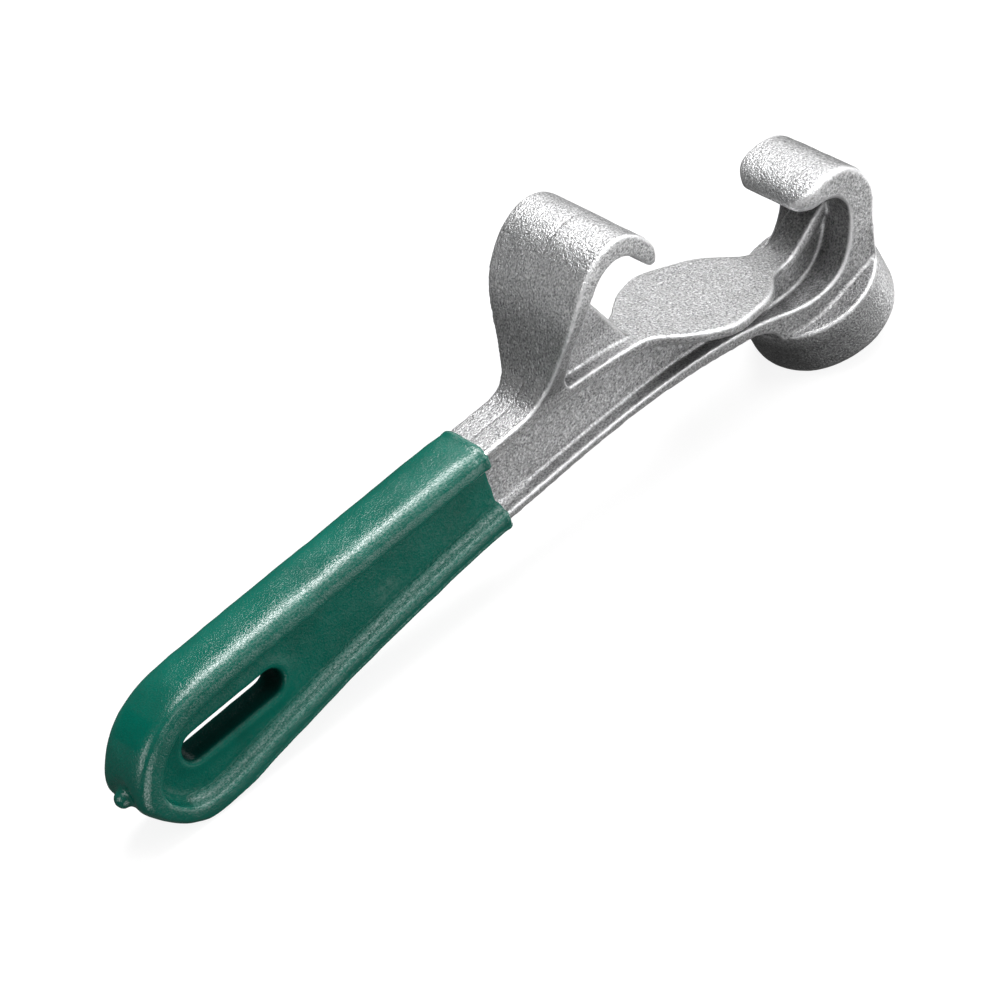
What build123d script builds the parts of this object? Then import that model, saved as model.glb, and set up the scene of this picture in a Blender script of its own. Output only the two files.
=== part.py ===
# Fire hydrant wrench: a one-piece aluminium casting with a dipped PVC grip.
#
# The side profile is drawn in a drawing frame in the XZ plane: x runs along
# the handle from the free end (negative) to the head (positive), x = 0 is the
# grip's mouth, z = 0 lies just under the top face of the handle, and Y is the
# width.  At the end everything is turned about Y and moved, so that the
# wrench stands on z = 0 on its boss and on the free end of its handle, with
# the origin under the middle of the overall box.
from build123d import *
import math
import os

# ---------------------------------------------------------------- dimensions
# handle (an I-beam whose flanges join round the free end)
TOP_Z = 1.2            # top face of the bare top flange
FLANGE_HALF = 8.6      # half width of the bare flanges
TOP_FLANGE = 3.6       # thickness of the top flange
WEB_HALF = 3.7         # half thickness of the web
GRIP_COAT = 1.3        # thickness of the dipped PVC
GRIP_ROUND = 2.6       # rounding of the grip's long outer edges
GRIP_INNER = 3.0       # blend between the web and the flanges of the handle
SLOT_ROUND = 1.9       # rounding of the coated slot's rim
SLOT_X0, SLOT_X1 = -124.3, -82.7      # hang slot in the bare web
SLOT_Z0, SLOT_Z1 = -25.2, -11.5
SLOT_R = 7.3

# rear hook
HOOK_HALF = 19.6       # half width at the crown
GUSSET_HALF = 3.4      # half thickness of the gusset inside it
# front hook
JAW_HALF = 15.7
JAW_TIP_R = 7.5        # corner radius of its tip, seen from above

# boss for the operating nut, axis leaning forward from straight down
BOSS_X, BOSS_Z = 129.56, -34.4        # centre of its top face
BOSS_LEAN = 12.2       # degrees
BOSS_R = 23.5
BOSS_H = 18.4
BOSS_EDGE = 3.0
BOSS_IN = 3.4          # how far it reaches up into the heel
NUT_POINT_TO_FLAT = 32.0              # pentagon operating nut socket
NUT_DEPTH = 15.0
NUT_R = NUT_POINT_TO_FLAT / (1 + math.cos(math.radians(36)))

# drip nub left at the lowest point of the dipped grip
NUB_X, NUB_Z = -139.3, -20.6
NUB_R = 1.9
NUB_LEN = 2.9

# ------------------------------------------------------------------ profiles
# underside of the lower flange, from the free end to the front hook's tip
UNDER = [(-108, -38.7), (-92, -35.7), (-76, -33.1), (-60, -30.9), (-42, -28.9),
         (-25, -27.3), (-8, -26.2), (8, -25.6), (25, -25.2), (42, -25.2),
         (55, -25.7), (66, -26.6), (78, -28.1), (90, -30.3), (100, -32.3),
         (110, -34.2), (118, -35.3), (124, -35.6), (130, -35.1), (136, -33.7),
         (141, -31.4), (144.6, -28.3), (147, -24.6), (148.9, -20), (150.7, -14.5),
         (151.7, -9.3), (151.3, -4.6), (149.6, -0.4), (146.6, 3.2), (142.6, 5.5),
         (138.2, 6.3), (133.6, 6.2), (129.6, 5.2), (126.4, 3.4), (124.7, 1.1)]
# upper face of the lower flange, from the grip to the front hook's tip
LOWER_IN = [(-108, -35.3), (-92, -32.4), (-76, -29.9), (-60, -27.8), (-42, -25.8),
            (-25, -24.3), (-8, -23.2), (8, -22.7), (25, -22.4), (42, -22.3),
            (55, -22.6), (66, -23.1), (78, -24.2), (90, -26.1), (100, -28.2),
            (110, -29.9), (118, -30.3), (124.6, -29.7), (129.2, -28.6),
            (133, -26.6), (136, -23.7), (138.3, -20.1), (140, -16.2),
            (141.2, -12.2), (141.3, -8.6), (140.1, -5.4), (137.7, -2.9),
            (134.5, -1.4), (130.8, -1.0), (127.2, -1.2), (125.2, -0.8)]
# free end of the handle, from the top face round to the underside
END_OUT = [(-106, 1.2), (-112, 1.0), (-118.8, 0.2), (-125.6, -1.9), (-131, -5.2),
           (-135.2, -9.7), (-138.3, -15), (-139.8, -20.2), (-139.0, -24.8),
           (-136.6, -29.2), (-133.4, -33.1), (-129.9, -36.2), (-126.0, -38.5),
           (-121.2, -39.8), (-115.2, -39.7), (-108, -38.7)]
END_IN = [(-104, -2.4), (-112, -2.8), (-119, -4.1), (-125, -6.6), (-130, -10.4),
          (-133.6, -15.0), (-135.3, -20.2), (-134.6, -25), (-132.0, -29.2),
          (-128.6, -32.6), (-124.6, -35.1), (-120, -36.2), (-114.4, -36.1),
          (-108, -35.3)]
# top face of the handle, bending up into the back of the rear hook
HOOK_OUT = [(12, 1.2), (16, 1.4), (19.4, 2.2), (22.3, 3.9), (24.5, 6.2), (26.3, 9.2),
            (28.1, 13.2), (30.8, 19.6), (33.5, 25.4), (36.5, 30.7), (39.4, 34.8),
            (42.2, 38.0), (45.4, 40.6), (49, 42.5), (52.6, 43.5), (56, 43.8),
            (59.4, 43.2), (62.6, 41.6), (65.4, 39.0), (67.5, 35.8), (68.8, 32.2),
            (69.1, 28.8), (68.4, 26.3)]
HOOK_IN = [(34, -1.2), (33.0, 1.6), (32.6, 5.2), (33.2, 9.8), (34.6, 14.6), (36.8, 20.0),
           (39.4, 25.2), (42.3, 29.8), (45.2, 33.2), (48.4, 35.8), (51.6, 37.1),
           (54.8, 37.4), (58, 36.5), (60.8, 34.5), (63, 31.6), (64.6, 28.6),
           (66.6, 26.1)]
# top and bottom faces of the plate that carries the paddle
PLATE_TOP = [(26, 1.0), (34, 0.3), (45, -1.0), (53, -2.2), (60, -3.5), (68, -5.3),
             (76, -7.4), (86, -10.1), (96, -12.8), (106, -15.5), (111, -16.8), (114.3, -17.8),
             (117.4, -18.7), (121.0, -19.3), (124.4, -18.9), (127.4, -17.3), (130.6, -15.3),
             (134.3, -13.4), (138.6, -11.4), (143, -9.6)]
PLATE_LOW = [(0, -2.4), (18, -2.5), (30, -3.1), (45, -4.7), (53, -5.9), (60, -7.2),
             (68, -9.0), (76, -11.1), (86, -13.7), (96, -16.2), (106, -18.8), (111, -20.0),
             (116, -21.4), (121, -22.4), (126, -21.8), (131, -19.4), (136, -16.9), (143, -14.0)]
# half width of the plate, seen from above; in front of the paddle it narrows
# to a band that runs along the top of the rib and up into the front hook
PLATE_PLAN = [(62.5, 8.7), (65.5, 10.0), (68.5, 12.6), (72, 15.6), (76, 18.3), (80.5, 20.5),
              (85.0, 21.8), (90.5, 21.3), (96.5, 19.6), (102.3, 17.7), (106.6, 15.2),
              (109.4, 12.7), (111.8, 10.2), (114.2, 8.1), (117.4, 6.7), (121, 5.9),
              (124.4, 5.5), (129, 5.4), (135, 5.4), (142, 5.3)]
# half width of the lower flange, seen from above
FLANGE_PLAN = [(94, 8.6), (100, 8.9), (105, 9.7), (109.5, 11.2), (114, 13.1), (119, 14.6),
               (125, 15.5), (132, 15.7)]
# half width of the rear hook at each height
HOOK_WIDTH = [(1.2, 8.6), (3.4, 9.1), (6.7, 10.7), (11.9, 12.9), (17, 15.0), (22, 17.0),
              (27, 18.6), (32, 19.4), (37, 19.6)]
# upper edge of the web and rib, just inside the plate that lies on it
RIB_TOP = [(108, -17.6), (113, -19.0), (117, -20.2), (121, -20.9), (125, -20.3),
           (129.5, -17.8), (134.7, -14.9), (140, -12.3), (146, -9.5)]
# half thickness of the rib between the paddle and the front hook
RIB_PLAN = [(100, 3.7), (105, 4.0), (109, 4.7), (114, 5.0), (120, 5.0), (125, 4.8),
            (129, 4.4), (133, 4.1), (140, 4.1), (148, 4.1)]
# the heel runs down to the boss: its rear and front edges, seen from the side
HEEL_REAR = [(100, -31.8), (103, -33.3), (105.8, -34.9), (107.6, -37), (108.4, -39.8)]
HEEL_FRONT = [(146.2, -33.5), (147.0, -30.9), (148.3, -25), (149.2, -20)]

XZ = Plane.XZ          # its normal is -Y; the profiles are symmetric about Y = 0


def at(p):
    """A drawing point (x, z) in space."""
    return Vector(p[0], 0, p[1])


def prism(edges, half):
    """Closed side profile, extruded both ways along Y."""
    face = Face(Wire(edges))
    return extrude(face, amount=half, dir=(0, 1, 0), both=True)


def spl(pts):
    return Edge.make_spline([at(p) for p in pts])


def seg(a, b):
    return Edge.make_line(at(a), at(b))


def plan_prism(pts, x0, x1, z0, z1):
    """Solid whose outline from above is the curve pts = (x, half width),
    mirrored, closed square at x0 (before) and at the last point or x1."""
    up = [Vector(x, h, 0) for x, h in pts]
    dn = [Vector(x, -h, 0) for x, h in pts]
    e = [Edge.make_line(Vector(x0, pts[0][1], 0), up[0]) if x0 < pts[0][0] else None,
         Edge.make_spline(up)]
    if x1 > pts[-1][0]:
        e += [Edge.make_line(up[-1], Vector(x1, pts[-1][1], 0)),
              Edge.make_line(Vector(x1, pts[-1][1], 0), Vector(x1, -pts[-1][1], 0)),
              Edge.make_line(Vector(x1, -pts[-1][1], 0), dn[-1])]
    else:
        e += [Edge.make_line(up[-1], dn[-1])]
    e += [Edge.make_spline(list(reversed(dn)))]
    if x0 < pts[0][0]:
        e += [Edge.make_line(dn[0], Vector(x0, -pts[0][1], 0)),
              Edge.make_line(Vector(x0, -pts[0][1], 0), Vector(x0, pts[0][1], 0))]
    else:
        e += [Edge.make_line(dn[0], up[0])]
    face = Face(Wire([k for k in e if k is not None]))
    return Pos(0, 0, z0) * extrude(face, amount=z1 - z0, dir=(0, 0, 1))


def box(x0, x1, y0, y1, z0, z1):
    return Pos((x0 + x1) / 2, (y0 + y1) / 2, (z0 + z1) / 2) * Box(x1 - x0, y1 - y0, z1 - z0)


def shift(pts, d):
    """Offset an open profile by d along its left-hand normal."""
    out = []
    for i, (x, z) in enumerate(pts):
        a = pts[max(i - 1, 0)]
        b = pts[min(i + 1, len(pts) - 1)]
        tx, tz = b[0] - a[0], b[1] - a[1]
        n = math.hypot(tx, tz)
        out.append((x - tz / n * d, z + tx / n * d))
    return out


# -------------------------------------------------------- handle, bare or dipped
def handle(coat, x_end):
    """The I-beam handle from the free end to x_end, grown by coat all over."""
    top = TOP_Z + coat
    end_o = shift(END_OUT, -coat)
    end_o[0] = (END_OUT[0][0], top)
    under = shift(UNDER[:14], -coat)
    under[0] = end_o[-1]
    end_i = shift(END_IN, coat)
    low_in = shift(LOWER_IN[:14], coat)
    low_in[0] = end_i[-1]
    z_i = TOP_Z - TOP_FLANGE - coat
    end_i[0] = (END_IN[0][0], z_i)
    x_far = x_end + 6
    outer = [seg((x_far, top), end_o[0]), spl(end_o), spl(under),
             seg(under[-1], (under[-1][0], top)),
             seg((under[-1][0], top), (x_far, top))]
    solid_out = prism([seg((under[-1][0], top), end_o[0]), spl(end_o), spl(under),
                       seg(under[-1], (under[-1][0], top))], FLANGE_HALF + coat)
    inner = prism([seg((low_in[-1][0], z_i), end_i[0]), spl(end_i), spl(low_in),
                   seg(low_in[-1], (low_in[-1][0], z_i))], FLANGE_HALF + coat + 5)
    web_h = WEB_HALF + coat
    pockets = []
    for side_y in (1, -1):
        p = inner & box(-200, 200, min(side_y * web_h, side_y * 40),
                        max(side_y * web_h, side_y * 40), -80, 80)
        p = fillet([e for e in p.edges() if abs(abs(e.center().Y) - web_h) < 1e-3
                    and e.center().X < UNDER[13][0] - 1], GRIP_INNER)
        pockets.append(p)
    pocket = pockets[0] + pockets[1]
    body = solid_out - pocket
    # hang slot through the web
    sx0, sx1 = SLOT_X0 + coat, SLOT_X1 - coat
    sz0, sz1 = SLOT_Z0 + coat, SLOT_Z1 - coat
    r = min(SLOT_R - coat, (sz1 - sz0) / 2 - 0.05)
    slot = Pos((sx0 + sx1) / 2, 0, (sz0 + sz1) / 2) * (
        Rot(90, 0, 0) * extrude(RectangleRounded(sx1 - sx0, sz1 - sz0, r), amount=30, both=True))
    body = body - slot
    if coat:
        lip = [e for e in body.edges() if abs(abs(e.center().Y) - web_h) < 1e-3
               and sx0 - 1 < e.center().X < sx1 + 1 and sz0 - 1 < e.center().Z < sz1 + 1]
        body = fillet(lip, SLOT_ROUND)
    return body & box(-160, x_end, -60, 60, -80, 80)


core = handle(0.0, 12.0)
dipped = handle(GRIP_COAT, 0.0)
side = FLANGE_HALF + GRIP_COAT
rim = [e for e in dipped.edges() if abs(abs(e.center().Y) - side) < 1e-3
       and (abs(e.center().Z - TOP_Z - GRIP_COAT) < 0.6 or e.center().X < -137
            or (e.length > 60 and e.center().Z < -28.5))]
dipped = fillet(rim, GRIP_ROUND)

# ------------------------------------------------------------------- head
# rear hook: one curled plate, narrow at its root and wide at its crown
hook = prism([spl(HOOK_OUT), seg(HOOK_OUT[-1], HOOK_IN[-1]),
              spl(list(reversed(HOOK_IN))), seg(HOOK_IN[0], (12, -1.2)),
              seg((12, -1.2), HOOK_OUT[0])], 25)
hw_up = [Vector(0, h, z) for z, h in HOOK_WIDTH]
hw_dn = [Vector(0, -h, z) for z, h in HOOK_WIDTH]
front = Face(Wire([Edge.make_spline(hw_up + [Vector(0, HOOK_HALF, 44), Vector(0, HOOK_HALF, 50)]),
                   Edge.make_line(Vector(0, HOOK_HALF, 50), Vector(0, -HOOK_HALF, 50)),
                   Edge.make_spline([Vector(0, -HOOK_HALF, 50), Vector(0, -HOOK_HALF, 44)]
                                    + list(reversed(hw_dn))),
                   Edge.make_line(hw_dn[0], Vector(0, -8.6, -6)),
                   Edge.make_line(Vector(0, -8.6, -6), Vector(0, 8.6, -6)),
                   Edge.make_line(Vector(0, 8.6, -6), hw_up[0])]))
hook = hook & (Pos(-7, 0, 0) * extrude(front, amount=111, dir=(1, 0, 0)))

# plate with the leaf-shaped paddle
plate = prism([seg((0, TOP_Z), (14, TOP_Z)), spl([(14, TOP_Z), (20, 1.2)] + PLATE_TOP),
               seg(PLATE_TOP[-1], PLATE_LOW[-1]), spl(list(reversed(PLATE_LOW))),
               seg(PLATE_LOW[0], (0, TOP_Z))], 25)
plate = plate & plan_prism([(61.5, 8.6)] + PLATE_PLAN, -5, 0, -40, 20)

# lower flange running on into the front hook
jaw = prism([spl(UNDER[7:]), seg(UNDER[-1], LOWER_IN[-1]),
             spl(list(reversed(LOWER_IN[7:]))), seg(LOWER_IN[7], UNDER[7])], 25)
low_plan = plan_prism(FLANGE_PLAN, 5, 170, -60, -10)
tip_plan = extrude(Pos(124.6 + 30, 0, -10) * RectangleRounded(60, 2 * JAW_HALF, JAW_TIP_R),
                   amount=30)
jaw = (jaw & low_plan) + (jaw & tip_plan)

# web from the grip to the front hook, and the gusset behind the rear hook
web = prism([seg((-2, -1), (18, -1)), spl([(18, -1), (30, -1.6), (45, -2.9), (60, -5.4),
                                        (76, -9.3), (92, -13.6), RIB_TOP[0]]),
             spl(RIB_TOP), seg(RIB_TOP[-1], (146, -26)),
             spl([(146, -26), (140, -30), (132, -32.4), (122, -33.0), (110, -31.6), (95, -29.0),
                  (78, -26.0), (60, -24.2), (40, -23.8), (20, -23.8), (-2, -24.3)]),
             seg((-2, -24.3), (-2, -1))], WEB_HALF)
rib = prism([seg((100, -15.6), RIB_TOP[0]), spl(RIB_TOP), seg(RIB_TOP[-1], (146, -27)),
             seg((146, -27), (136, -31)), seg((136, -31), (118, -33)),
             seg((118, -33), (100, -29.5)), seg((100, -29.5), (100, -15.6))], 12)
web = web + (rib & plan_prism(RIB_PLAN, 0, 0, -60, 20))
gusset = prism([seg((30, -2), (61.6, -5)), seg((61.6, -5), (45.6, 31.4)),
                spl([(45.6, 31.4), (41, 26.5), (35.5, 15), (32.5, 8), (30, -2)])], GUSSET_HALF)

# boss with the pentagon socket for the operating nut
boss_frame = Pos(BOSS_X, 0, BOSS_Z) * Rot(0, -BOSS_LEAN, 0)
boss = Pos(0, 0, (BOSS_IN - BOSS_H) / 2) * Cylinder(BOSS_R, BOSS_H + BOSS_IN)
boss = fillet(boss.edges().group_by(Axis.Z)[0], BOSS_EDGE)
boss = boss_frame * boss
# above its top face the boss is only inside the heel, never beside it
heel = prism([spl(UNDER[7:]), seg(UNDER[-1], LOWER_IN[-1]),
              spl(list(reversed(LOWER_IN[7:]))), seg(LOWER_IN[7], UNDER[7])], JAW_HALF)
below = boss_frame * (Pos(0, 0, -30) * Box(120, 120, 60))
boss = (boss & below) + (boss & heel & low_plan)
# the heel's sides run straight down to the boss's top face
fill = prism([spl(HEEL_REAR), seg(HEEL_REAR[-1], (114, -41.5)), seg((114, -41.5), HEEL_FRONT[0]),
              spl(HEEL_FRONT), seg(HEEL_FRONT[-1], (144, -20)), seg((144, -20), (136, -30)),
              seg((136, -30), (120, -33)), seg((120, -33), (100, -30.5)),
              seg((100, -30.5), HEEL_REAR[0])], JAW_HALF) & low_plan
fill = fill & (boss_frame * (Pos(0, 0, 30 - 0.5) * Box(120, 120, 60)))

casting = core + hook + plate + jaw + web + gusset + boss + fill
casting = casting - (boss_frame * (Pos(0, 0, -BOSS_H - 20) *
                     extrude(RegularPolygon(NUT_R, 5, rotation=0), amount=NUT_DEPTH + 20)))
print("casting solids", len(casting.solids()), casting.volume, casting.is_valid)

# ------------------------------------------------------------------- grip
nub_dir = Vector(-1, 0, -0.12).normalized()
nub_plane = Plane(origin=(NUB_X, 0, NUB_Z), z_dir=nub_dir)
nub = nub_plane * (Pos(0, 0, NUB_LEN / 2) * Cone(NUB_R * 1.9, NUB_R, NUB_LEN))
nub = nub + nub_plane * (Pos(0, 0, NUB_LEN) * Sphere(NUB_R))
grip = (dipped + (nub - core)) - core
print("grip solids", len(grip.solids()), grip.volume, grip.is_valid)

# ----------------------------------------------------- stand it on its feet
tilt = -3.9
for _ in range(6):      # a few steps find the angle where both feet touch
    a = (Rot(0, tilt, 0) * grip).bounding_box().min.Z
    b = (Rot(0, tilt, 0) * casting).bounding_box().min.Z
    if abs(a - b) < 1e-4:
        break
    tilt += math.degrees((b - a) / 230.0)
bb = (Rot(0, tilt, 0) * Compound([casting, grip])).bounding_box()
stand = Pos(-(bb.min.X + bb.max.X) / 2, 0, -bb.min.Z) * Rot(0, tilt, 0)
print("tilt", tilt, "shift", -(bb.min.X + bb.max.X) / 2, -bb.min.Z)
casting = stand * casting
grip = stand * grip

os.makedirs("parts", exist_ok=True)
for name, shape in (("wrench_casting", casting), ("grip_sleeve", grip)):
    s = shape.solids()
    shape = s[0] if len(s) == 1 else Compound(s)
    shape.label = name
    export_step(shape, f"parts/{name}.step")
    b = shape.bounding_box()
    print(name, len(s), round(shape.volume), [round(v, 2) for v in (b.min.X, b.max.X, b.min.Y, b.max.Y, b.min.Z, b.max.Z)])
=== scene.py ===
import math

import bmesh
import bpy
import numpy as np
from mathutils import Matrix, Vector


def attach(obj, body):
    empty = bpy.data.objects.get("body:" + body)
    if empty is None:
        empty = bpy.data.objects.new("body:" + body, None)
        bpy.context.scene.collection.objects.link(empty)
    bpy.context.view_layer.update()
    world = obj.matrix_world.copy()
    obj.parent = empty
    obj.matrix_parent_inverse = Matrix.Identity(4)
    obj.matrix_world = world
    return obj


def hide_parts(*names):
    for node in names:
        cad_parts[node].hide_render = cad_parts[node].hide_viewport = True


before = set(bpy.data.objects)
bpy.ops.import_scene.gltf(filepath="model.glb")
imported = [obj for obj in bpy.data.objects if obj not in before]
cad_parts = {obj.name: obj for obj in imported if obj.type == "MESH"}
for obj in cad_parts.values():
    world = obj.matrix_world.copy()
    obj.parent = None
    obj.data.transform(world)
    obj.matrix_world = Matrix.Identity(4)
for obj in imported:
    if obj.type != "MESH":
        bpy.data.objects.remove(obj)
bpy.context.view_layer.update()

# ---------------------------------------------------------------------------
# The wrench's own drawing frame: x along the handle, z up, 0 at the grip's
# mouth on the handle's top face. The row frame is that, tilted and shifted so
# that the wrench stands on its boss and on the end of its handle.
# ---------------------------------------------------------------------------
TILT = math.radians(-3.83025231871509)
SHIFT_X, SHIFT_Z = -0.00808073767589353, 0.04913068040472736
CT, ST = math.cos(TILT), math.sin(TILT)


def row(x, y, z):
    """Millimetres in the drawing frame to metres in the row frame."""
    x, z = x / 1000.0, z / 1000.0
    return (x * CT + z * ST + SHIFT_X, y / 1000.0, -x * ST + z * CT + SHIFT_Z)


def drawing(co):
    """Row-frame metres (n, 3) to drawing-frame millimetres."""
    x, z = co[:, 0] - SHIFT_X, co[:, 2] - SHIFT_Z
    return np.stack([x * CT - z * ST, co[:, 1], x * ST + z * CT], 1) * 1000.0


def to_row(d):
    """Drawing-frame millimetres (n, 3) to row-frame metres."""
    x, y, z = d[:, 0] / 1000.0, d[:, 1] / 1000.0, d[:, 2] / 1000.0
    return np.stack([x * CT + z * ST + SHIFT_X, y, -x * ST + z * CT + SHIFT_Z], 1)


def link(ob):
    bpy.context.scene.collection.objects.link(ob)
    return ob


# ---------------------------------------------------------------------------
# smooth value noise on points, for the unevenness of a casting and a dip coat
# ---------------------------------------------------------------------------
def _hash(ix, iy, iz, seed):
    h = (ix * 374761393 + iy * 668265263 + iz * 2147483647 + seed * 1274126177) & 0xFFFFFFFF
    h = ((h ^ (h >> 13)) * 1103515245) & 0xFFFFFFFF
    h = (h ^ (h >> 16)) & 0xFFFFFFFF
    return h / 4294967295.0


def noise(p, scale, seed):
    """Value noise in -1..1 at points p (mm), with cells of scale mm."""
    q = p / scale + 1000.0
    i = np.floor(q).astype(np.int64)
    f = q - i
    f = f * f * f * (f * (f * 6 - 15) + 10)
    out = np.zeros(len(p))
    for dx in (0, 1):
        for dy in (0, 1):
            for dz in (0, 1):
                w = (
                    (f[:, 0] if dx else 1 - f[:, 0])
                    * (f[:, 1] if dy else 1 - f[:, 1])
                    * (f[:, 2] if dz else 1 - f[:, 2])
                )
                out += w * _hash(i[:, 0] + dx, i[:, 1] + dy, i[:, 2] + dz, seed)
    return out * 2 - 1


def step(a, b, v):
    t = np.clip((v - a) / (b - a), 0, 1)
    return t * t * (3 - 2 * t)


# ---------------------------------------------------------------------------
# mesh helpers
# ---------------------------------------------------------------------------
def skin(node, name, voxel):
    """A dense, even copy of a CAD node's surface."""
    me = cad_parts[node].data.copy()
    me.materials.clear()
    bm = bmesh.new()
    bm.from_mesh(me)
    bmesh.ops.remove_doubles(bm, verts=bm.verts, dist=2e-6)
    bm.to_mesh(me)
    bm.free()
    ob = link(bpy.data.objects.new(name + "_raw", me))
    mod = ob.modifiers.new("skin", "REMESH")
    mod.mode = "VOXEL"
    mod.voxel_size = voxel
    mod.adaptivity = 0.0
    bpy.context.view_layer.update()
    dg = bpy.context.evaluated_depsgraph_get()
    out = bpy.data.meshes.new_from_object(ob.evaluated_get(dg))
    out.name = name
    bpy.data.objects.remove(ob)
    return out


def get_co(me):
    co = np.zeros(len(me.vertices) * 3)
    me.vertices.foreach_get("co", co)
    return co.reshape(-1, 3)


def set_co(me, co):
    me.vertices.foreach_set("co", np.ascontiguousarray(co, dtype=np.float64).ravel())
    me.update()


def edges_of(me):
    e = np.zeros(len(me.edges) * 2, np.int64)
    me.edges.foreach_get("vertices", e)
    return e.reshape(-1, 2)


def normals_of(me):
    n = np.zeros(len(me.vertices) * 3)
    me.vertices.foreach_get("normal", n)
    return n.reshape(-1, 3)


def laplace(co, e, times, weight):
    """Moves each vertex towards the mean of its neighbours, times times; weight is
    one number for each vertex, from 0 to 1."""
    n = len(co)
    a = np.concatenate([e[:, 0], e[:, 1]])
    b = np.concatenate([e[:, 1], e[:, 0]])
    deg = np.maximum(np.bincount(a, minlength=n), 1)[:, None]
    for _ in range(times):
        s = np.stack([np.bincount(a, weights=co[b, k], minlength=n) for k in range(3)], 1)
        co = co + (s / deg - co) * (0.5 * weight)[:, None]
    return co


def spread(v, e, times):
    """Blurs one value per vertex."""
    n = len(v)
    a = np.concatenate([e[:, 0], e[:, 1]])
    b = np.concatenate([e[:, 1], e[:, 0]])
    deg = np.maximum(np.bincount(a, minlength=n), 1)
    for _ in range(times):
        v = 0.5 * v + 0.5 * np.bincount(a, weights=v[b], minlength=n) / deg
    return v


def put(me, name, v):
    at = me.attributes.new(name, "FLOAT", "POINT")
    at.data.foreach_set("value", np.ascontiguousarray(v, dtype=np.float32))


def thin_out(ob, faces):
    """Fewer faces where the surface is flat."""
    now = sum(len(p.vertices) - 2 for p in ob.data.polygons)
    if now <= faces:
        return
    mod = ob.modifiers.new("thin", "DECIMATE")
    mod.ratio = faces / now
    bpy.context.view_layer.update()
    dg = bpy.context.evaluated_depsgraph_get()
    out = bpy.data.meshes.new_from_object(ob.evaluated_get(dg))
    name = ob.data.name
    ob.modifiers.clear()
    old = ob.data
    ob.data = out
    bpy.data.meshes.remove(old)
    out.name = name


def shade_smooth(me):
    me.polygons.foreach_set("use_smooth", np.ones(len(me.polygons), bool))
    me.update()


# ---------------------------------------------------------------------------
# the casting
# ---------------------------------------------------------------------------
VOXEL = 0.00045
# small blow holes: x, y, z, radius and depth in the drawing frame, mm
PITS = [(130.8, -15.6, -34.5, 0.55, 0.7)]
# the middle of the rubbed patch on the grip, x and z in the drawing frame
RUB = (-44.5, -18.5)


# the handle's top face, bending up into the back of the rear hook, and its crown
BACK_LINE = [(-1, 1.2), (12, 1.2), (16, 1.4), (19.4, 2.2), (22.3, 3.9), (24.5, 6.2), (26.3, 9.2),
             (28.1, 13.2), (30.8, 19.6), (33.5, 25.4), (36.5, 30.7), (39.4, 34.8),
             (42.2, 38.0), (45.4, 40.6), (49, 42.5), (52.6, 43.5), (56, 43.8),
             (59.4, 43.2), (62.6, 41.6), (65.4, 39.0), (67.5, 35.8)]


# the grip's outside, from the mouth round the free end to the underside
OUTSIDE = [(0, 2.5), (-106, 2.5), (-112, 2.3), (-119, 1.5), (-126.2, -0.8), (-132, -4.3),
           (-136.4, -9.2), (-139.6, -14.8), (-141.1, -20.2), (-140.3, -25.1), (-137.7, -30),
           (-134.4, -34.0), (-130.7, -37.3), (-126.4, -39.8), (-121.2, -41.1), (-115, -41),
           (-108, -40), (-92, -37), (-76, -34.4), (-60, -32.2), (-42, -30.2), (-25, -28.6),
           (-8, -27.5), (0, -27.2)]
# the upper face of the lower flange, under the grip's coat
LEDGE = [(-126, -33.2), (-120, -34.9), (-114.4, -34.8), (-108, -34), (-92, -31.1), (-76, -28.6),
         (-60, -26.5), (-42, -24.5), (-25, -23), (-8, -21.9), (0, -21.6)]
# the inside of the front hook
HOOK_INSIDE = [(110, -29.9), (118, -30.3), (124.6, -29.7), (129.2, -28.6),
               (133, -26.6), (136, -23.7), (138.3, -20.1), (140, -16.2),
               (141.2, -12.2), (141.3, -8.6), (140.1, -5.4), (137.7, -2.9)]


def near_line(x, z, line):
    """Distance of each point (x, z) from a polyline."""
    best = np.full(len(x), 1e9)
    for (x0, z0), (x1, z1) in zip(line[:-1], line[1:]):
        ux, uz = x1 - x0, z1 - z0
        t = np.clip(((x - x0) * ux + (z - z0) * uz) / (ux * ux + uz * uz), 0, 1)
        best = np.minimum(best, np.hypot(x - x0 - t * ux, z - z0 - t * uz))
    return best


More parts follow.
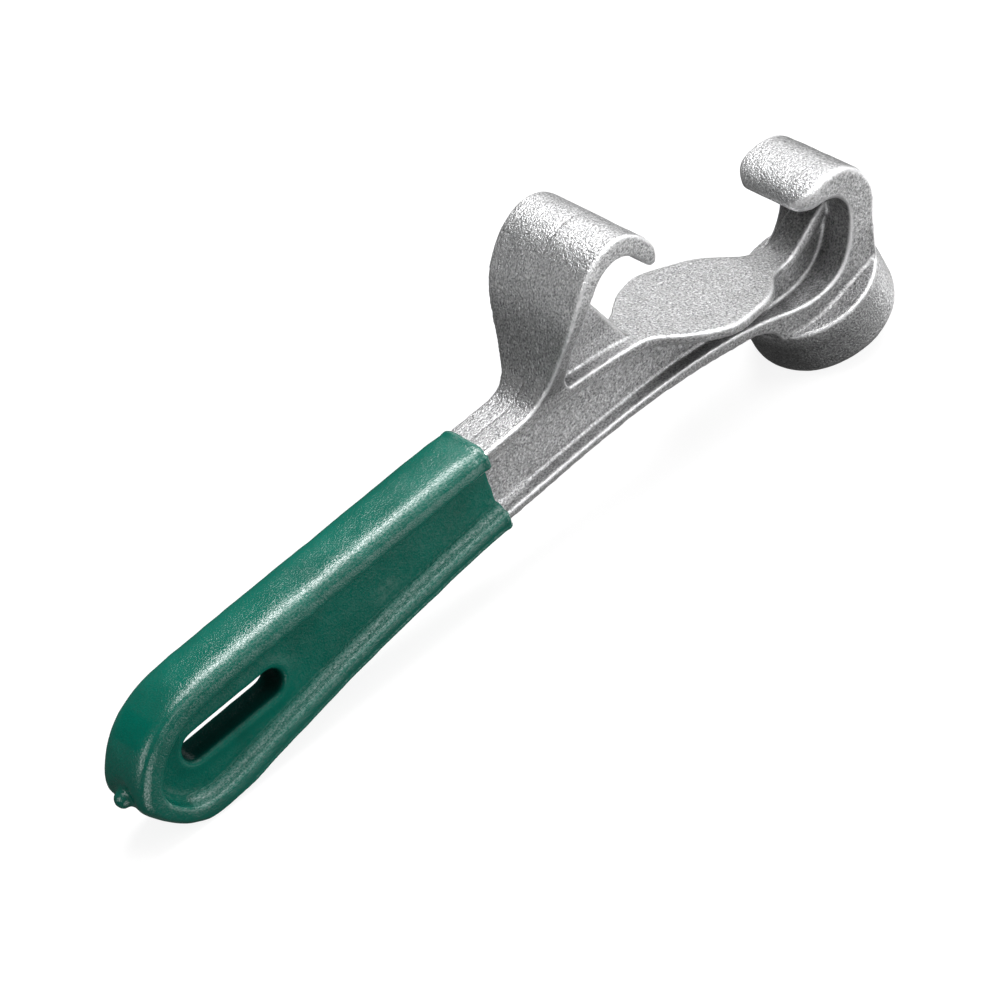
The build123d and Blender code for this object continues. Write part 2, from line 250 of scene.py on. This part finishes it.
def make_casting():
    me = skin("wrench_casting", "casting", VOXEL)
    co = get_co(me)
    e = edges_of(me)
    d = drawing(co)
    x, y, z = d.T
    # every edge and corner of a sand casting is rounded, about 1 mm
    w = np.ones(len(co))
    raw = co.copy()
    co = laplace(co, e, int(round(9 * (0.00045 / VOXEL) ** 2)), w)
    # the front hook's tongue is a round thumb, and its crown is rounder than the rest
    tongue = step(110, 114, x) * step(-8.0, -4.0, z)
    co = laplace(co, e, int(round(12 * (0.00045 / VOXEL) ** 2)), tongue)
    set_co(me, co)
    n = normals_of(me)
    bend = ((co - raw) * n).sum(1) * 1000.0  # + hollow, - proud
    bend = spread(bend, e, 3)
    d = drawing(co)
    x, y, z = d.T
    # the mould's parting line along the handle's top and over the hook's crown
    out = near_line(x, z, BACK_LINE)
    seam = (out < 1.0) * np.clip(step(1.6, 0.9, np.abs(y)), 0, 1)
    seam = seam * np.maximum(step(27, 23, x), np.maximum(step(43, 46, x), 0.25))
    groove = -0.12 * seam * np.exp(-((y / 0.38) ** 2))
    # one small blow hole on the heel, by the boss
    for px, py, pz, pr, deep in PITS:
        r = np.sqrt((x - px) ** 2 + (y - py) ** 2 + (z - pz) ** 2)
        groove = groove - deep * np.exp(-((r / pr) ** 2))
    # shrinkage and mould unevenness, about a tenth of a millimetre
    wave = 0.10 * noise(d, 9.0, 3) + 0.06 * noise(d, 4.0, 5) + 0.03 * noise(d, 1.5, 7)
    co = co + n * ((wave + groove) / 1000.0)[:, None]
    set_co(me, co)
    put(me, "edge", np.clip(-bend * 3.0, -1, 1))
    put(me, "seam", seam)
    # painted light and shade: the base is lightened on the rear hook's crown and upper back,
    # the hooks' flat sides, the paddle's top and the front hook's top, and darkened on the
    # inside of the front hook, the lower part of the boss and the boss's top face
    flat_side = step(0.6, 0.9, np.abs(n[:, 1]))
    rear = step(19, 33, z) * (x < 75)
    sides = flat_side * (step(6, 20, z) * (x < 75) * 0.95 + step(-26, -16, z) * (x > 118) * 0.70)
    sides = sides + flat_side * (np.abs(y) < 5.5) * (x < 112) * (z < 4) * 0.28
    sides = sides + (n[:, 2] > 0.75) * (x > 62) * (x < 118) * (z > -20) * (z < -1) * 0.14
    sides = sides + step(-6.0, 0.0, z) * (x > 118) * (1 - flat_side) * 0.26
    hook_inside_shade = step(1.6, 0.9, near_line(x, z, HOOK_INSIDE)) * (np.abs(y) > 4.5) * (x > 112)
    down = (x - 129.56) * math.sin(math.radians(-12.2)) + (z + 34.4) * math.cos(math.radians(-12.2))
    boss = step(-1.5, -6.0, down) * (x > 104) * step(8.0, -14.0, x - 129.56)
    boss_top_shade = step(1.2, 0.4, np.abs(down)) * (x > 108) * (np.abs(y) > 11)
    rear = rear * (0.85 - 0.38 * step(37, 42, z))
    painted_light = np.maximum(rear, sides) - 0.5 * hook_inside_shade - 0.55 * boss - 0.35 * boss_top_shade
    put(me, "painted_light", spread(painted_light, e, 3))
    ob = link(bpy.data.objects.new("casting", me))
    thin_out(ob, 195000)
    shade_smooth(ob.data)
    return ob


# ---------------------------------------------------------------------------
# the dipped grip
# ---------------------------------------------------------------------------
def make_grip():
    voxel = 0.00048
    me = skin("grip_sleeve", "grip", voxel)
    co = get_co(me)
    e = edges_of(me)
    raw = co.copy()
    d = drawing(co)
    # the drop left at the free end, where the PVC ran off after dipping
    drop = np.sqrt((d[:, 0] + 141.2) ** 2 + d[:, 1] ** 2 + (d[:, 2] + 20.9) ** 2)
    w = 1.0 - 0.75 * step(4.0, 2.5, drop)
    co = laplace(co, e, int(round(10 * (0.00048 / voxel) ** 2)), w)
    set_co(me, co)
    n = normals_of(me)
    bend = spread(((co - raw) * n).sum(1) * 1000.0, e, 3)
    d = drawing(co)
    x, y, z = d.T
    wave = 0.12 * noise(d, 11.0, 13) + 0.06 * noise(d, 4.5, 15) + 0.02 * noise(d, 1.4, 17)
    # the coat gathers round the slot's rim
    qx = np.abs(x + 103.5) - (19.5 - 5.4)
    qz = np.abs(z + 18.35)
    rim = np.where(qx > 0, np.hypot(qx, qz), qz) - 5.45
    near = np.exp(-((np.maximum(rim, 0.0) / 2.2) ** 2)) * (np.abs(y) < 7.5) * (rim < 6)
    cx = np.clip(x, -103.5 - 14.1, -103.5 + 14.1)
    ix, iz = cx - x, -18.35 - z
    il = np.maximum(np.hypot(ix, iz), 1e-6)
    swell = np.exp(-(((rim - 0.9) / 2.0) ** 2)) * (np.abs(y) > 2.5) * (np.abs(y) < 7.5)
    d = d + np.stack([ix / il * 0.95 * near, np.sign(y) * 0.6 * swell, iz / il * 0.95 * near], 1)
    co = to_row(d)
    # the coat swells a little at the mouth, and the drop is plump
    outer = (np.abs(y) > 8.0) | (z > 0.5) | (z < -27.0)
    # the coat is thickest along the middle of the handle's outside, so that is crowned
    outside = spread((near_line(x, z, OUTSIDE) < 1.2).astype(float), e, 2)
    raised = 1.25 * step(-0.2, 0.4, n[:, 2] + 0.5 * (x < -125)) * (0.55 + 0.45 * step(0, -9, x))
    droop = 1.5 * step(-0.5, 0.2, n[:, 2] + 0.5 * (x < -125))
    wave = wave + outside * (raised - droop * np.clip(np.abs(y) / 9.9, 0, 1) ** 4) * step(2.5, 7.5, drop)
    # below, the coat stays full out to the corners
    under = step(0.1, -0.4, n[:, 2]) * step(-128, -122, x)
    wave = wave + outside * under * 0.75 * step(5.0, 9.0, np.abs(y)) * step(2.5, 7.5, drop)
    # the ledge on the lower flange falls outwards
    ledge = spread(((n[:, 2] > 0.3) & (z < -12.0) & (near_line(x, z, LEDGE) < 1.6)
                    & (np.abs(y) > 4.6)).astype(float), e, 3)
    wave = wave + ledge * 0.7 * np.clip(1.0 - (np.abs(y) - 5.5) / 4.0, -0.4, 1)
    # the ledge mask also carries a painted highlight in the grip's colour
    put(me, "ledge", ledge)
    wave = np.where(wave > 0, wave * step(0.0, 0.004, co[:, 2]), wave)
    wave = wave + 0.28 * np.exp(-(((x + 1.3) / 1.0) ** 2)) * outer
    wave = wave + 0.85 * step(4.6, 2.3, drop)
    co = co + n * (wave / 1000.0)[:, None]
    set_co(me, co)
    put(me, "edge", np.clip(-bend * 3.0, -1, 1))
    # a rubbed patch on the side that faces outwards
    rub = np.sqrt(((x - RUB[0]) / 7.0) ** 2 + ((z - RUB[1]) / 5.0) ** 2)
    put(me, "rub", step(1.0, 0.4, rub) * (y < 0) * (np.abs(y) < 7))
    # the outside is polished by hands and pegs, and the flutes beside the web are duller
    dull = spread(((np.abs(y) < 6.2) & (z < -1.0) & (x > -134.0)).astype(float), e, 4)
    put(me, "dull", np.clip(dull, 0, 1))
    # painted shade on the slot's walls
    put(me, "slot_wall_shade", spread((step(0.9, 0.1, rim) * (np.abs(y) < 5.6)).astype(float), e, 2))
    ob = link(bpy.data.objects.new("grip", me))
    thin_out(ob, 195000)
    shade_smooth(ob.data)
    return ob


# ---------------------------------------------------------------------------
# materials
# ---------------------------------------------------------------------------
class Nodes:
    def __init__(self, name):
        self.mat = bpy.data.materials.new(name)
        self.mat.use_nodes = True
        self.t = self.mat.node_tree
        self.t.nodes.clear()
        self.out = self.t.nodes.new("ShaderNodeOutputMaterial")

    def new(self, kind, **props):
        node = self.t.nodes.new(kind)
        for k, v in props.items():
            setattr(node, k, v)
        return node

    def link(self, a, b):
        self.t.links.new(a, b)

    def noise(self, vec, scale, detail=2.0, rough=0.5, w=None):
        n = self.new("ShaderNodeTexNoise")
        n.noise_dimensions = "3D"
        n.inputs["Scale"].default_value = scale
        n.inputs["Detail"].default_value = detail
        n.inputs["Roughness"].default_value = rough
        self.link(vec, n.inputs["Vector"])
        return n.outputs["Fac"]

    def ramp(self, fac, stops):
        r = self.new("ShaderNodeValToRGB")
        el = r.color_ramp.elements
        while len(el) > 1:
            el.remove(el[-1])
        el[0].position, el[0].color = stops[0][0], (*stops[0][1], 1)
        for p, c in stops[1:]:
            q = el.new(p)
            q.color = (*c, 1)
        self.link(fac, r.inputs["Fac"])
        return r.outputs["Color"]

    def maths(self, op, a, b=None, clamp=False):
        m = self.new("ShaderNodeMath", operation=op, use_clamp=clamp)
        for i, v in enumerate((a, b)):
            if v is None:
                continue
            if isinstance(v, (int, float)):
                m.inputs[i].default_value = v
            else:
                self.link(v, m.inputs[i])
        return m.outputs[0]

    def mix(self, fac, a, b, mode="MIX"):
        m = self.new("ShaderNodeMix", data_type="RGBA", blend_type=mode)
        for sock, v in ((m.inputs[0], fac), (m.inputs[6], a), (m.inputs[7], b)):
            if isinstance(v, (int, float)):
                sock.default_value = v
            elif isinstance(v, tuple):
                sock.default_value = (*v, 1)
            else:
                self.link(v, sock)
        return m.outputs[2]

    def remap(self, v, a, b, c, d):
        m = self.new("ShaderNodeMapRange")
        self.link(v, m.inputs[0])
        for i, k in enumerate((a, b, c, d)):
            m.inputs[i + 1].default_value = k
        return m.outputs[0]


def cast_aluminium():
    g = Nodes("cast_aluminium")
    pos = g.new("ShaderNodeTexCoord").outputs["Object"]
    edge = g.new("ShaderNodeAttribute", attribute_name="edge").outputs["Fac"]
    seam = g.new("ShaderNodeAttribute", attribute_name="seam").outputs["Fac"]
    grain = g.noise(pos, 1500.0, 2.0, 0.6)
    fleck = g.noise(pos, 2600.0, 1.0, 0.5)
    patch = g.noise(pos, 90.0, 3.0, 0.6)
    base = g.ramp(
        grain,
        [(0.30, (0.16, 0.16, 0.163)), (0.45, (0.38, 0.38, 0.384)), (0.57, (0.54, 0.54, 0.545)), (0.72, (0.86, 0.86, 0.865))],
    )
    base = g.mix(g.remap(patch, 0.3, 0.7, 0.0, 0.22), base, (0.34, 0.34, 0.343))
    # painted light and shade: the base is scaled from a quarter to 1.75 times, lighter where the hooks
    # are painted as lit and darker where they are painted as shaded
    painted_light = g.new("ShaderNodeAttribute", attribute_name="painted_light").outputs["Fac"]
    gain = g.new("ShaderNodeVectorMath", operation="SCALE")
    g.link(base, gain.inputs[0])
    g.link(g.remap(painted_light, -1.0, 1.0, 0.25, 1.75), gain.inputs["Scale"])
    base = gain.outputs[0]
    # painted highlights: what stands proud and the narrow fillets are lightened almost to white,
    # # drawing the bright lines that light draws along the edges
    proud = g.remap(edge, 0.06, 0.50, 0.0, 0.85)
    base = g.mix(proud, base, (0.97, 0.97, 0.975))
    hollow = g.remap(edge, -0.10, -0.60, 0.0, 0.50)
    base = g.mix(hollow, base, (0.90, 0.90, 0.905))
    # painted shade: the base is darkened almost to black in the deep corners, where shade falls
    ao = g.new("ShaderNodeAmbientOcclusion", samples=6, only_local=True)
    ao.inputs["Distance"].default_value = 0.016
    deep = g.remap(ao.outputs["AO"], 0.60, 0.20, 0.0, 0.86)
    base = g.mix(deep, base, (0.04, 0.04, 0.042))
    # parting line
    xyz = g.new("ShaderNodeSeparateXYZ")
    g.link(pos, xyz.inputs[0])
    off = g.maths("ABSOLUTE", xyz.outputs[1])
    line = g.maths("MULTIPLY", g.remap(off, 0.00010, 0.00028, 1.0, 0.0), seam)
    line = g.maths("MULTIPLY", line, g.remap(g.noise(pos, 400.0, 2.0, 0.6), 0.35, 0.55, 0.35, 1.0))
    base = g.mix(g.maths("MULTIPLY", line, 0.62), base, (0.10, 0.10, 0.10))
    b = g.new("ShaderNodeBsdfPrincipled")
    g.link(base, b.inputs["Base Color"])
    b.inputs["Metallic"].default_value = 0.9
    rough = g.remap(grain, 0.3, 0.7, 0.46, 0.34)
    g.link(rough, b.inputs["Roughness"])
    bump1 = g.new("ShaderNodeBump")
    bump1.inputs["Strength"].default_value = 1.0
    bump1.inputs["Distance"].default_value = 0.00030
    g.link(grain, bump1.inputs["Height"])
    bump2 = g.new("ShaderNodeBump")
    bump2.inputs["Strength"].default_value = 0.9
    bump2.inputs["Distance"].default_value = 0.00012
    g.link(fleck, bump2.inputs["Height"])
    g.link(bump1.outputs[0], bump2.inputs["Normal"])
    g.link(bump2.outputs[0], b.inputs["Normal"])
    g.link(b.outputs[0], g.out.inputs["Surface"])
    return g.mat


def green_pvc():
    g = Nodes("green_pvc")
    pos = g.new("ShaderNodeTexCoord").outputs["Object"]
    edge = g.new("ShaderNodeAttribute", attribute_name="edge").outputs["Fac"]
    rub = g.new("ShaderNodeAttribute", attribute_name="rub").outputs["Fac"]
    dull = g.new("ShaderNodeAttribute", attribute_name="dull").outputs["Fac"]
    ledge = g.new("ShaderNodeAttribute", attribute_name="ledge").outputs["Fac"]
    peel = g.noise(pos, 1700.0, 2.0, 0.6)
    cloud = g.noise(pos, 60.0, 3.0, 0.6)
    base = g.ramp(cloud, [(0.3, (0.0, 0.100, 0.070)), (0.7, (0.0, 0.130, 0.092))])
    worn = g.remap(edge, 0.1, 0.8, 0.0, 0.30)
    base = g.mix(worn, base, (0.005, 0.17, 0.12))
    # painted highlight: the upward ledge on the lower flange is lightened in grainy streaks
    ledge_highlight = g.maths("MULTIPLY", ledge, g.remap(peel, 0.36, 0.66, 0.05, 0.36))
    base = g.mix(ledge_highlight, base, (0.16, 0.36, 0.31))
    scuff = g.noise(pos, 300.0, 4.0, 0.7)
    scuffed = g.maths("MULTIPLY", rub, g.remap(scuff, 0.42, 0.60, 0.02, 0.20))
    base = g.mix(scuffed, base, (0.22, 0.30, 0.28))
    # painted shade: the base is darkened almost to black in the deep corners, where shade falls
    ao = g.new("ShaderNodeAmbientOcclusion", samples=6, only_local=True)
    ao.inputs["Distance"].default_value = 0.014
    deep = g.remap(ao.outputs["AO"], 0.62, 0.22, 0.0, 0.92)
    base = g.mix(deep, base, (0.0, 0.010, 0.009))
    # painted shade: the slot's walls are darkened almost to black
    slot_wall_shade = g.new("ShaderNodeAttribute", attribute_name="slot_wall_shade").outputs["Fac"]
    base = g.mix(g.maths("MULTIPLY", slot_wall_shade, 0.85), base, (0.0, 0.012, 0.011))
    b = g.new("ShaderNodeBsdfPrincipled")
    g.link(base, b.inputs["Base Color"])
    rough = g.remap(cloud, 0.3, 0.7, 0.21, 0.25)
    rough = g.maths("ADD", rough, g.maths("MULTIPLY", ledge, 0.12))
    rough = g.maths("ADD", rough, g.maths("MULTIPLY", scuffed, 0.8))
    g.link(rough, b.inputs["Roughness"])
    b.inputs["IOR"].default_value = 1.53
    shine = g.maths("SUBTRACT", 0.80, g.maths("MULTIPLY", dull, 0.57))
    shine = g.maths("MULTIPLY", shine, g.remap(peel, 0.38, 0.62, 0.40, 1.60))
    # the reflection is damped in the deep corners and on the slot's walls, under their painted shade
    shine = g.maths("MULTIPLY", shine, g.maths("SUBTRACT", 1.0, g.maths("MULTIPLY", deep, 0.9)))
    shine = g.maths("MULTIPLY", shine, g.maths("SUBTRACT", 1.0, g.maths("MULTIPLY", slot_wall_shade, 0.7)))
    g.link(shine, b.inputs["Specular IOR Level"])
    bump = g.new("ShaderNodeBump")
    bump.inputs["Strength"].default_value = 0.9
    bump.inputs["Distance"].default_value = 0.00012
    g.link(peel, bump.inputs["Height"])
    g.link(bump.outputs[0], b.inputs["Normal"])
    g.link(b.outputs[0], g.out.inputs["Surface"])
    return g.mat


casting = make_casting()
casting.data.materials.append(cast_aluminium())
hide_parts("wrench_casting")
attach(casting, "root")

grip = make_grip()
grip.data.materials.append(green_pvc())
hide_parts("grip_sleeve")
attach(grip, "root")

# ---------------------------------------------------------------------------
# floor, light, camera
# ---------------------------------------------------------------------------
fm = bpy.data.meshes.new("floor")
s = 6.0
fm.from_pydata([(-s, -s, 0), (s, -s, 0), (s, s, 0), (-s, s, 0)], [], [(0, 1, 2, 3)])
floor = link(bpy.data.objects.new("floor", fm))
fg = Nodes("pale_floor")
fd = fg.new("ShaderNodeBsdfDiffuse")
fd.inputs["Color"].default_value = (0.20, 0.20, 0.20, 1)
fe = fg.new("ShaderNodeEmission")
fe.inputs["Color"].default_value = (1, 1, 1, 1)
fe.inputs["Strength"].default_value = 0.87
fa = fg.new("ShaderNodeAddShader")
fg.link(fd.outputs[0], fa.inputs[0])
fg.link(fe.outputs[0], fa.inputs[1])
fg.link(fa.outputs[0], fg.out.inputs["Surface"])
fm.materials.append(fg.mat)
# the floor is a light table: white of its own, with soft shadows on it, and it
# doesn't throw its white back up at the metal
floor.visible_diffuse = False
floor.visible_glossy = False
floor.visible_shadow = False

world = bpy.data.worlds.new("studio")
bpy.context.scene.world = world
world.use_nodes = True
world.node_tree.nodes["Background"].inputs["Color"].default_value = (1, 1, 1, 1)
world.node_tree.nodes["Background"].inputs["Strength"].default_value = 0.085


def softbox(name, azimuth, elevation, power, size=0.55):
    """A square soft light 1.1 m from the wrench. Azimuth turns from +X towards +Y."""
    a, e = math.radians(azimuth), math.radians(elevation)
    out = Vector((math.cos(a) * math.cos(e), math.sin(a) * math.cos(e), math.sin(e)))
    d = bpy.data.lights.new(name, "AREA")
    d.shape = "SQUARE"
    d.size = size
    d.energy = power
    ob = link(bpy.data.objects.new(name, d))
    ob.location = Vector((0.05, 0, 0.045)) + out * 1.1
    ob.rotation_mode = "QUATERNION"
    ob.rotation_quaternion = (-out).to_track_quat("-Z", "Y")
    return ob


softbox("top", 0, 90, 5.6)
softbox("right_high", 0, 55, 4.9)
softbox("front_right_low", -45, 20, 4.3)
softbox("front_right_high", -45, 55, 2.2)
softbox("left_low", 180, 20, 2.5)
softbox("front_low", -90, 20, 1.6)
softbox("back_right_low", 45, 20, 1.2)
softbox("right_low", 0, 20, 0.8)
softbox("front_high", -90, 55, 0.7)
# lamps under the light table
softbox("table_right", 0, -25, 2.4)
softbox("table_front_left", -120, -25, 1.9)
softbox("table_front_right", -60, -25, 1.3)
# a smaller lamp behind the handle draws the highlight along the grip's upper ridge
strip = softbox("strip", 0, 90, 5.3, 0.34)
strip.location = Vector((-0.07, 0.0, 0.04)) + Vector((0.314, 0.335, 0.889)) * 1.15
strip.rotation_quaternion = (Vector((-0.07, 0.0, 0.04)) - strip.location).to_track_quat("-Z", "Y")

cam = bpy.data.cameras.new("camera")
camera = link(bpy.data.objects.new("camera", cam))
cam.sensor_width = 36.0
cam.lens = 4600.0 / 1001.0 * 36.0
cam.clip_start, cam.clip_end = 0.05, 20.0
RIGHT = Vector((0.729746760793727, -0.6508022627875449, -0.20958549535135867))
UP = Vector((0.5433215519492061, 0.3658954944116642, 0.7555939242455237))
BACK = Vector((-0.41505584720440875, -0.6652645352939348, 0.6206059472657152))
EYE = Vector((-0.5599721044561812, -0.8935833238068132, 0.8577603709668922))
camera.matrix_world = Matrix(
    (
        (RIGHT.x, UP.x, BACK.x, EYE.x),
        (RIGHT.y, UP.y, BACK.y, EYE.y),
        (RIGHT.z, UP.z, BACK.z, EYE.z),
        (0, 0, 0, 1),
    )
)
bpy.context.scene.camera = camera
bpy.context.scene.view_settings.view_transform = "Standard"
